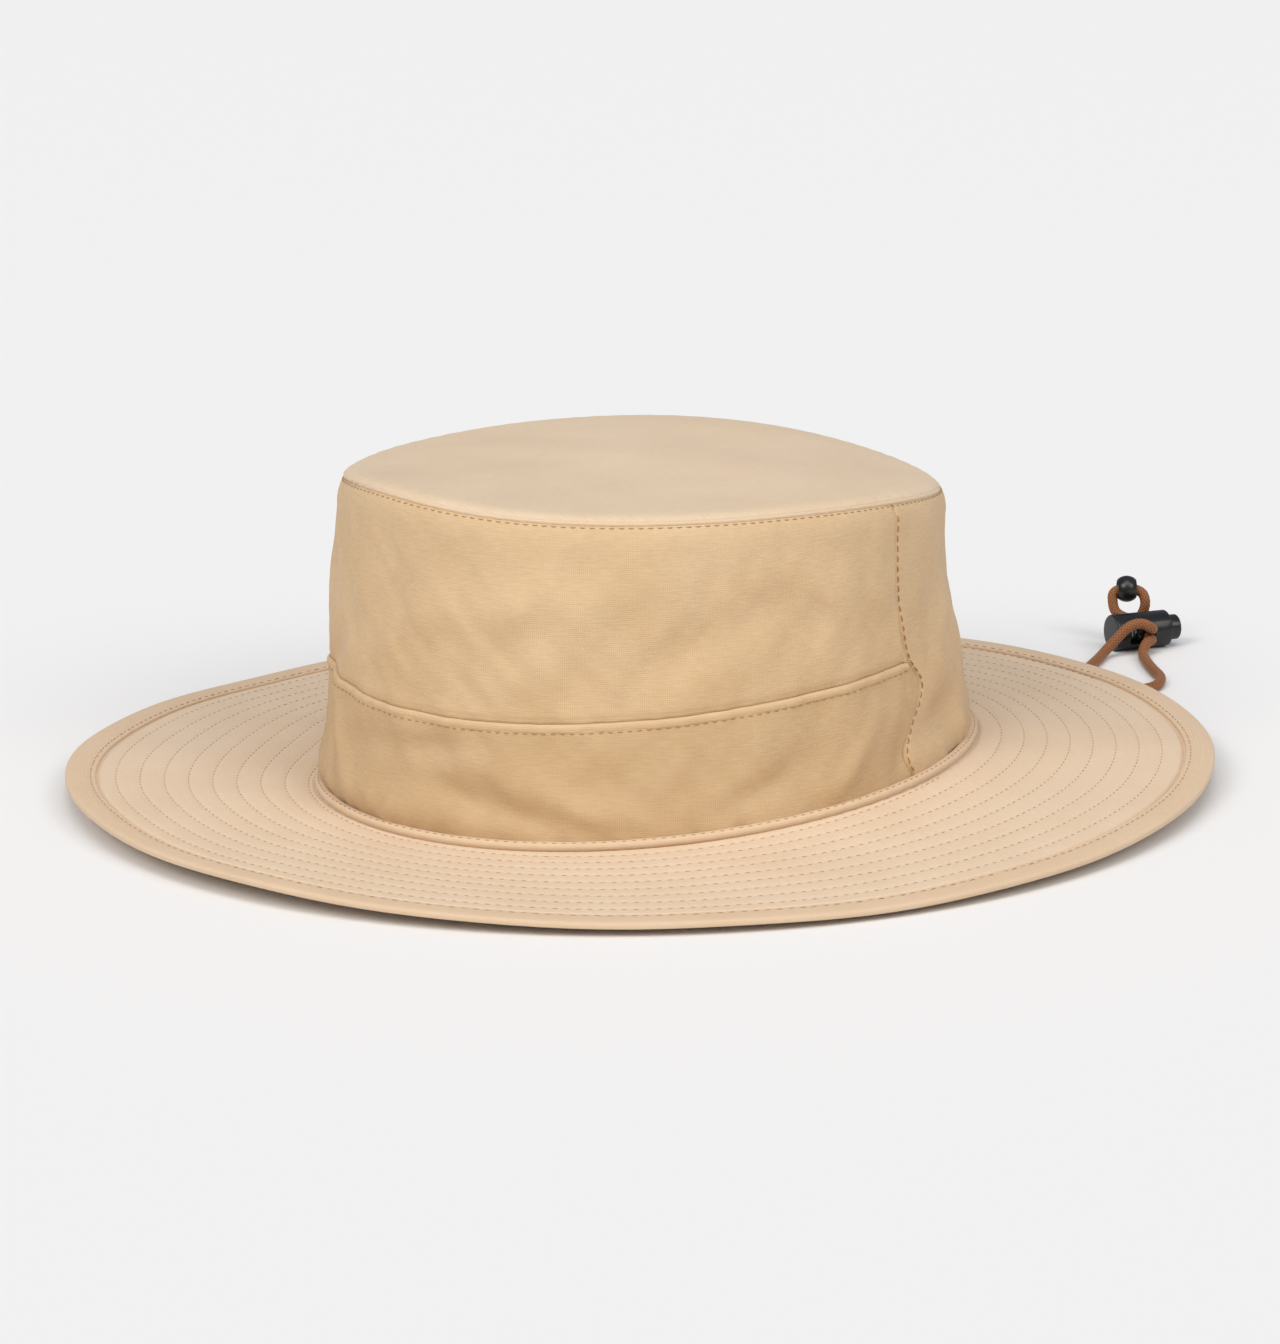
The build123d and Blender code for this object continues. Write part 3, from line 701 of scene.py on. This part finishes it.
EDGE_BAND = 8.6                 # how wide the edge band is
EDGE_ROW = 7.1                  # inset of its row of stitches
ROW_PITCH = 6.78                # from row to row of quilting
ROW_START = 13.9                # inset of the outermost full row where the spiral starts
ROW_BOW = 1.7                   # how much the rows bow out, half a turn on
SPIRAL_FROM = -129.0            # angle where each turn of the spiral starts
UNQUILTED = 1.2                 # there is no row further out from the first than this many


def spiral_turn(theta):
    """How far round from the spiral's start, from 0 to 1."""
    return ((theta - SPIRAL_FROM) / 360) % 1


def row_pitch(theta):
    """Distance between neighbouring rows, a little closer over the front left."""
    return ROW_PITCH - 0.55 * turn_bell(theta, -39, 32)


def row_inset(theta, turns):
    """Inset of the quilting spiral, turns full turns after the outermost row."""
    bow = ROW_BOW * np.sin(np.pi * spiral_turn(theta)) ** 2
    return ROW_START + row_pitch(theta) * (turns + spiral_turn(theta)) - bow


def row_distance(theta, inset):
    """Distance from the nearest row of quilting, and a large one where there is none."""
    rows = (inset - row_inset(theta, 0)) / row_pitch(theta)
    spiral = np.abs(rows - np.round(rows)) * row_pitch(theta)
    return np.where(rows < -UNQUILTED, 9.0, spiral)


def groove_relief(inset):
    """The brim is drawn down along the edge band's inner end and along the base ridge's foot."""
    at_band = bell(inset, EDGE_BAND + 0.45, 0.45)
    at_foot = bell(inset, BRIM_WIDTH - FOOT + 0.1, 0.5)
    return -0.8 * at_band - 0.6 * at_foot


def quilt_relief(theta, inset):
    """The quilted brim swells between its rows and is drawn in at the thread."""
    distance = row_distance(theta, inset)
    drawn_in = 0.30 * bell(distance, 0, 0.7)
    return groove_relief(inset) - drawn_in + 0.05 * pucker(theta, distance, 130, 5.0, 2.0, 5.0)


# ---- crown ---------------------------------------------------------------------------------------
CLOTH = 0.9                     # how thick the crown's cloth is, with its turnings
BESIDE_SEAM = np.array([0, 0.12, 0.25, 0.4, 0.6, 0.8])  # closer columns beside a side seam
OPEN_FROM = 1.1                 # and where the even ones start, in degrees


def seam_turn(rise):
    """Degrees by which the side seams wander from straight as they climb: three soft bends."""
    return 4.2 * bell(rise, 0.76, 0.17) - 2.6 * bell(rise, 0.2, 0.14) - 0.9 * bell(rise, 1.5, 0.3)


def crown_panel(name, start, end, rise_from, rise_to, columns, rows, node, cloth=wall_cloth):
    """A panel of the wall between two side seams and two heights, turned in along the seams. Its uv
    is the distance round the wall and the height."""
    rise = np.linspace(rise_from, rise_to, rows)[:, None]
    wide = end - start
    degrees = np.concatenate([BESIDE_SEAM, np.linspace(OPEN_FROM, wide - OPEN_FROM, columns),
                              wide - BESIDE_SEAM[::-1]])[None, :]
    theta = start + seam_turn(rise) + degrees
    from_seam = np.minimum(degrees, wide - degrees) * INNER_DEGREE
    points = wall_point(theta, rise + 0 * theta, -CLOTH * bell(from_seam, 0, 0.5))
    uv = np.stack([theta * WALL_DEGREE, points[..., 2]], -1)
    mesh = grid_mesh(name, points, uv)
    piece = add_object(name, mesh, cloth, replaces=(node,))
    return thicken(piece, CLOTH)


crown_panel("crown_front", FRONT_FROM, FRONT_TO, 1.0, 2.0, 420, 64, "crown_front_panel")
crown_panel("crown_band", FRONT_FROM, FRONT_TO, 0.0, 1.0, 420, 56, "crown_lower_band", band_cloth_painted_shade)
crown_panel("crown_back", FRONT_TO, BACK_TO, 0.0, 2.0, 300, 110, "crown_back_panel")


def make_tip():
    """The oval top, from its middle to the seam, where its edge turns down over the ridge."""
    share = np.concatenate([np.linspace(0, 0.93, 52), np.linspace(0.94, 1.0, 13)])[:, None]
    theta = np.arange(0, 360, 1.0)[None, :]
    points = tip_point(theta, share)
    tuck = points[-1].copy()
    tuck[:, 2] -= 0.7
    points = np.concatenate([points, tuck[None]])
    ring = np.concatenate([points, points[:, :1]], 1)
    mesh = grid_mesh("crown_tip", points[::-1], ring[::-1, :, :2], closed_u=True)
    piece = add_object("crown_tip", mesh, tip_cloth_painted_light, replaces=("crown_top",))
    return thicken(piece, CLOTH)


make_tip()


ROLL_DEGREE, BAND_DEGREE = 0.03, 0.06   # a degree round the section of a roll or the edge band


def seam_roll(name, middle, theta, half_out, half_up, closed, material, node, gathers):
    """A turned seam as a soft roll: a rounded section carried along a line of points, uneven where
    the stitches draw it in. An open roll narrows to nothing at its ends."""
    turn = np.linspace(0, 2 * np.pi, 16, endpoint=False)[:, None]
    size = np.ones_like(theta)
    if not closed:
        share = np.linspace(0, 1, len(theta))
        size = np.clip(np.minimum(share, 1 - share) * 120, 0, 1) ** 0.5
    swell = 1 + gathers * pucker(theta, 0, 92, 6.0, 1.0, 6.0)
    out = half_out * np.sign(np.cos(turn)) * np.abs(np.cos(turn)) ** 0.8 * size * swell
    up = half_up * np.sign(np.sin(turn)) * np.abs(np.sin(turn)) ** 0.8 * size
    normal = outward(theta, BASE_R)[None]
    points = middle[None] + normal * out[..., None]
    points[..., 2] += up
    length = theta[None, :] * WALL_DEGREE
    uv = np.stack([length + 0 * turn, np.degrees(turn) * ROLL_DEGREE + 0 * length], -1)
    uv = np.concatenate([uv, uv[:1] + np.array((0, 360 * ROLL_DEGREE))])
    if closed:
        uv = np.concatenate([uv, uv[:, :1] + np.array((360 * WALL_DEGREE, 0))], 1)
    mesh = grid_mesh(name, points, uv, closed_u=closed, closed_v=True)
    return add_object(name, mesh, material, replaces=(node,))


all_round = np.arange(0, 360, 0.5)
front_round = np.linspace(FRONT_FROM + 0.4, FRONT_TO - 0.2, 430)


def raised(points, out, up, theta):
    """Points moved out from the hat and up."""
    moved = points + outward(theta, BASE_R) * out
    moved[..., 2] += up
    return moved


tip_line = raised(wall_point(all_round, 2.0), 0.15, 0.1, all_round)
seam_roll("tip_seam", tip_line, all_round, 0.55, 0.62, True, tip_cloth_painted_light,
          "top_seam_ridge", 0.10)
band_line = raised(wall_point(front_round + seam_turn(1.0), 1.0), 0.15, -1.3, front_round)
seam_roll("band_seam", band_line, front_round, 0.95, 1.35, False, wall_cloth,
          "band_seam_ridge", 0.10)
base_line = wall_point(all_round, 0.0, 1.0, folds=0.0)
base_line[:, 2] = level(all_round, BASE_LEVEL) - 1.5
seam_roll("base_seam", base_line, all_round, 1.6, 1.35, True, edge_cloth_painted_shade,
          "base_seam_ridge", 0.06)


# ---- brim ----------------------------------------------------------------------------------------
# rows of the face between the layers, from the crown out: few, but they follow the two grooves
HIDDEN_INSETS = np.array((71.5, 70.0, 68.5, 40.0, 11.0, 9.1, 7.2))


def brim_layer(name, insets, lift, relief, thickness, columns, material, node, upper=True):
    """One closed layer of the brim: its shown face with the quilting, deepened by relief, and the
    face against the next layer, which follows only the grooves."""
    theta = np.arange(columns)[None, :] * 360 / columns
    inset = np.asarray(insets)[:, None]
    shown = brim_point(theta, inset, lift + relief * quilt_relief(theta, inset + 0 * theta))
    inside = (HIDDEN_INSETS > insets[0]) & (HIDDEN_INSETS < insets[-1])
    behind = np.concatenate([[insets[-1]], HIDDEN_INSETS[inside], [insets[0]]])[:, None]
    depth = -thickness if upper else thickness
    hidden = brim_point(theta, behind, lift + depth + relief * groove_relief(behind + 0 * theta))
    points = np.concatenate([shown, hidden])
    if not upper:
        points = points[::-1]
    ring = np.concatenate([points, points[:, :1]], 1)
    uv = np.concatenate([ring, ring[:1]])[..., :2]
    mesh = grid_mesh(name, points, uv, closed_u=True, closed_v=True)
    return add_object(name, mesh, material, replaces=(node,))


BRIM_INNER = BRIM_WIDTH + 0.6   # the cloths go in under the base ridge
cloth_insets = np.concatenate([np.arange(5.5, 10.4, 0.25), np.arange(10.4, 68.0, 0.68),
                               np.arange(68.0, BRIM_INNER, 0.3)])
brim_layer("brim_upper_cloth", cloth_insets, 0.0, 1.0, 0.4, 720, brim_cloth_painted_light,
           "brim_top_fabric")
brim_layer("brim_lower_cloth", cloth_insets[::2], -1.9, -0.6, 0.35, 540, brim_cloth_painted_light,
           "brim_under_fabric", upper=False)
brim_layer("brim_stiffener", np.linspace(10.8, 68.4, 14), -0.6, 0.0, 0.7, 360, felt,
           "brim_interlining")


def make_edge():
    """The turned edge band round the brim: a flat, puffed section with rounded ends, a little
    thinner towards its inner end, and drawn in along its own row of stitches."""
    theta = np.arange(720)[None, :] * 0.5
    turn = np.linspace(0, 2 * np.pi, 40, endpoint=False)[:, None]
    inset = EDGE_BAND / 2 * (1 - np.sign(np.cos(turn)) * np.abs(np.cos(turn)) ** 0.75)
    tall = 1.25 - 0.1 * inset / EDGE_BAND
    up = tall * np.sign(np.sin(turn)) * np.abs(np.sin(turn)) ** 0.42
    drawn = 0.35 * bell(inset, EDGE_ROW, 0.6) * np.sign(np.sin(turn))
    puff = 0.10 * pucker(theta, inset - EDGE_ROW, 166, 8.0, 3.0, 7.0)
    points = brim_point(theta, inset, -0.5 + up - drawn + puff)
    ring = np.concatenate([points, points[:, :1]], 1)
    along = np.arange(721)[None, :] * 1.45
    uv = np.stack([along + 0 * turn, np.degrees(turn) * BAND_DEGREE + 0 * along], -1)
    uv = np.concatenate([uv, uv[:1] + np.array((0, 360 * BAND_DEGREE))])
    mesh = grid_mesh("brim_edge_band", points[::-1], uv[::-1], closed_u=True, closed_v=True)
    return add_object("brim_edge_band", mesh, edge_cloth_painted_shade,
                      replaces=("brim_edge_binding",))


make_edge()


# ---- inside the crown ----------------------------------------------------------------------------
def lining_strip(name, theta, rise, out, thickness, material, node, folds, closed=False):
    """A strip of lining that follows the inside of the wall, facing inwards."""
    theta, rise = theta[None, :], rise[:, None]
    points = wall_point(theta, rise + 0 * theta, out, folds)
    around = np.concatenate([theta, theta[:, :1] + 360], 1) if closed else theta
    heights = np.concatenate([points[..., 2], points[:, :1, 2]], 1) if closed else points[..., 2]
    uv = np.stack([around * INNER_DEGREE + 0 * rise, heights], -1)
    mesh = grid_mesh(name, points[::-1], uv[::-1], closed_u=closed)
    piece = add_object(name, mesh, material, replaces=(node,))
    return thicken(piece, thickness)


coarse_round = np.arange(0, 360, 1.0)
lining_strip("sweat_band", coarse_round, np.linspace(0.06, 0.94, 30), -1.5, -0.9, sweat_knit,
             "sweatband", 0.9, closed=True)
lining_strip("tip_seam_tape", coarse_round, np.linspace(1.83, 1.99, 8), -1.3, -0.6, twill_tape,
             "top_seam_tape", 0.9, closed=True)
for side, angle in (("left", FRONT_TO), ("right", BACK_TO)):
    lining_strip(f"side_tape_{side}", np.linspace(angle - 3.2, angle + 3.2, 12),
                 np.linspace(0.98, 1.84, 40), -1.2, -0.5, twill_tape,
                 f"side_seam_tape_{side}", 0.9)
lining_strip("blank_label", np.linspace(82, 98, 30), np.linspace(0.18, 0.70, 24), -2.6, -0.4,
             label_satin, "care_label", 0.8)


def make_anchor(name, box, node):
    """A folded tape tab: a flat box with rounded edges, where every cosine and sine of a ball is
    raised to a power below one. The cord comes out of its underside."""
    low, high = np.array(box[0]) / MM, np.array(box[1]) / MM
    middle, half = (low + high) / 2, (high - low) / 2
    turn = np.linspace(0, 2 * np.pi, 48, endpoint=False)[None, :]
    climb = np.linspace(-np.pi / 2, np.pi / 2, 25)[:, None]

    def power(value, exponent):
        return np.sign(value) * np.abs(value) ** exponent

    x = half[0] * power(np.cos(climb), 0.35) * power(np.cos(turn), 0.5)
    y = half[1] * power(np.cos(climb), 0.35) * power(np.sin(turn), 0.35)
    z = half[2] * power(np.sin(climb), 0.35) + 0 * turn
    points = np.stack([x, y, z], -1) + middle
    uv = np.stack([turn * 5.5 + 0 * climb, points[..., 2]], -1)
    uv = np.concatenate([uv, uv[:, :1] + np.array((11 * np.pi, 0))], 1)
    mesh = grid_mesh(name, points, uv, closed_u=True)
    return add_object(name, mesh, twill_tape, replaces=(node,))


make_anchor("cord_tab_left", left_anchor, "cord_anchor_left")
make_anchor("cord_tab_right", right_anchor, "cord_anchor_right")


# ---- stitching -----------------------------------------------------------------------------------
# a stitch's five rings: places along its length, heights over the cloth and girths, both in radii
STITCH_ALONG = np.array([-0.5, -0.3, 0.0, 0.3, 0.5])
STITCH_RISE = np.array([-2.2, -0.2, 0.35, -0.2, -2.2])
STITCH_GIRTH = np.array([0.45, 1.0, 1.05, 1.0, 0.45])
STITCH_SIDES = 6


def stitches(name, line, normal, pitch, length, nodes, radius=0.17, sink=0.10, closed=True):
    """Separate stitches along a line of points: each is a short spindle of thread that leaves the
    cloth, lies on it and goes back in. They sit pitch apart, and length is the part that shows."""
    if closed:
        line = np.concatenate([line, line[:1]])
        normal = np.concatenate([normal, normal[:1]])
    walked = np.concatenate([[0], np.cumsum(np.linalg.norm(np.diff(line, axis=0), axis=1))])
    middles = np.arange(pitch / 2, walked[-1] - pitch / 3, pitch)
    along = middles[:, None] + STITCH_ALONG[None, :] * length
    centre = np.stack([np.interp(along, walked, line[:, axis]) for axis in range(3)], -1)
    up = np.stack([np.interp(along, walked, normal[:, axis]) for axis in range(3)], -1)
    up = up / np.linalg.norm(up, axis=-1, keepdims=True)
    ahead = np.gradient(centre, axis=1)
    side = np.cross(ahead, up)
    side = side / np.linalg.norm(side, axis=-1, keepdims=True)
    rise = STITCH_RISE * radius - sink
    girth = STITCH_GIRTH * radius
    turn = np.linspace(0, 2 * np.pi, STITCH_SIDES, endpoint=False)
    centre = centre + up * rise[None, :, None]
    points = (centre[:, :, None] + girth[None, :, None, None] * (
        side[:, :, None] * np.cos(turn)[None, None, :, None]
        + up[:, :, None] * np.sin(turn)[None, None, :, None]))
    rings, sides = len(STITCH_ALONG), STITCH_SIDES
    ring, spoke = np.meshgrid(np.arange(rings - 1), np.arange(sides), indexing="ij")
    cell = np.stack([ring * sides + spoke, ring * sides + (spoke + 1) % sides,
                     (ring + 1) * sides + (spoke + 1) % sides, (ring + 1) * sides + spoke], -1)
    first = np.arange(sides)
    ends = np.stack([first[::-1], first + (rings - 1) * sides])
    start = (np.arange(len(middles)) * rings * sides)[:, None, None]
    faces = (cell.reshape(1, -1, 4) + start).reshape(-1, 4).tolist()
    faces += (ends[None] + start).reshape(-1, sides).tolist()
    mesh = bpy.data.meshes.new(name)
    mesh.from_pydata((points.reshape(-1, 3) * MM).tolist(), [], faces)
    mesh.shade_smooth()
    return add_object(name, mesh, thread, replaces=nodes)


fine_round = np.arange(0, 360, 0.1)
fine_front = np.linspace(FRONT_FROM + 0.8, FRONT_TO - 0.6, 2400)
stitches("tip_seam_stitches", raised(wall_point(fine_round, 1.985), 0.12, 0, fine_round),
         outward(fine_round, TIP_R), 2.7, 2.0, ("top_seam_thread",))
band_stitch_line = raised(wall_point(fine_front + seam_turn(0.93), 0.925), 0.10, 0, fine_front)
stitches("band_seam_stitches", band_stitch_line, outward(fine_front, BAND_R), 2.7, 2.0,
         ("band_seam_thread",), closed=False)
base_stitch_line = wall_point(fine_round, 0.0, 1.75, folds=0.0)
base_stitch_line[:, 2] = level(fine_round, BASE_LEVEL) - 0.20
base_stitch_normal = outward(fine_round, BASE_R) + np.array((0, 0, 1.0))
stitches("base_seam_stitches", base_stitch_line, base_stitch_normal, 2.8, 2.0,
         ("base_seam_thread",))

upright = np.zeros((len(fine_round), 3)) + np.array((0, 0, 1.0))
stitches("brim_edge_stitches", brim_point(fine_round, EDGE_ROW, 0.38), upright, 3.3, 2.4,
         ("brim_edge_thread",), radius=0.12, sink=0.08)

# the quilting: one line of stitches wound in from the edge band until it comes to the base ridge
walk = np.arange(-0.97, 9.0, 1 / 1800)
walk_theta = SPIRAL_FROM + 360 * walk
walk_inset = row_inset(walk_theta, np.floor(walk))
reached = np.argmax(walk_inset > BRIM_WIDTH - FOOT - 1.2)
kept = (walk_inset > EDGE_BAND + 0.9) & (np.arange(len(walk)) < reached)
spiral = brim_point(walk_theta[kept], walk_inset[kept], -0.24)
above = np.zeros_like(spiral) + np.array((0, 0, 1.0))
BRIM_THICK = 1.55               # from the stitches on top to those underneath
stitches("brim_quilting_stitches", spiral, above, 3.1, 2.2, ("brim_quilting_thread",),
         radius=0.14, sink=0.07, closed=False)
stitches("brim_underside_stitches", spiral - above * BRIM_THICK, -above, 3.1, 2.2, (),
         radius=0.14, sink=0.07, closed=False)


def side_seam_stitches():
    """Stitches up both side seams, just behind the seam itself. The left row stands for both."""
    rise = np.linspace(0.05, 1.93, 700)
    for side, angle, beside, nodes in (("left", FRONT_TO, 0.5, ("side_seam_threads",)),
                                       ("right", BACK_TO, -0.5, ())):
        theta = angle + beside + seam_turn(rise)
        line = raised(wall_point(theta, rise), 0.08, 0, theta)
        stitches(f"side_seam_stitches_{side}", line, outward(theta, BASE_R), 2.9, 2.1, nodes,
                 closed=False)


side_seam_stitches()


# ---- studio --------------------------------------------------------------------------------------
TABLE_HALF, TABLE_DROP = 6000.0, 0.05   # half its width, and how far it is under the hat
ROOM_COLOUR, ROOM_STRENGTH = (0.90, 0.97, 1.09, 1.0), 0.31      # the room's own cool fill
SOFTBOX_COLOUR = (1.0, 0.963, 0.905)


def make_floor():
    """A wide level table top in a plain pale finish."""
    steps = np.linspace(-TABLE_HALF, TABLE_HALF, 9)
    x, y = np.meshgrid(steps, steps)
    mesh = grid_mesh("table_top", np.stack([x, y, 0 * x - TABLE_DROP], -1))
    material, tree = new_material("matt_white_laminate")
    surface = add_node(tree, "ShaderNodeBsdfPrincipled", Base_Color=linear("EFEFF0"), Roughness=0.9)
    surface.inputs["Specular IOR Level"].default_value = 0.1
    add_node(tree, "ShaderNodeOutputMaterial", Surface=surface.outputs["BSDF"])
    floor = bpy.data.objects.new("table_top", mesh)
    mesh.materials.append(material)
    scene.collection.objects.link(floor)


make_floor()

world = bpy.data.worlds.new("white_room")
world.use_nodes = True
fill = world.node_tree.nodes["Background"]
fill.inputs["Color"].default_value = ROOM_COLOUR
fill.inputs["Strength"].default_value = ROOM_STRENGTH
scene.world = world


def soft_light(name, strength, spread, azimuth, elevation):
    """A distant softbox, spread degrees across. Its light comes from azimuth, counted from the
    wearer's front towards their left, and from elevation above the table."""
    data = bpy.data.lights.new(name, "SUN")
    data.energy = strength
    data.color = SOFTBOX_COLOUR
    data.angle = np.radians(spread)
    light = bpy.data.objects.new(name, data)
    turn, climb = np.radians(azimuth), np.radians(elevation)
    towards = Vector((np.sin(turn) * np.cos(climb), -np.cos(turn) * np.cos(climb), np.sin(climb)))
    light.rotation_euler = towards.to_track_quat("Z", "Y").to_euler()
    scene.collection.objects.link(light)


soft_light("overhead_softbox", 1.05, 40, 51, 66)
soft_light("left_softbox", 1.36, 30, 10, 38)
soft_light("right_softbox", 0.94, 30, 96, 38)
scene.view_settings.view_transform = "Standard"
scene.view_settings.look = "None"
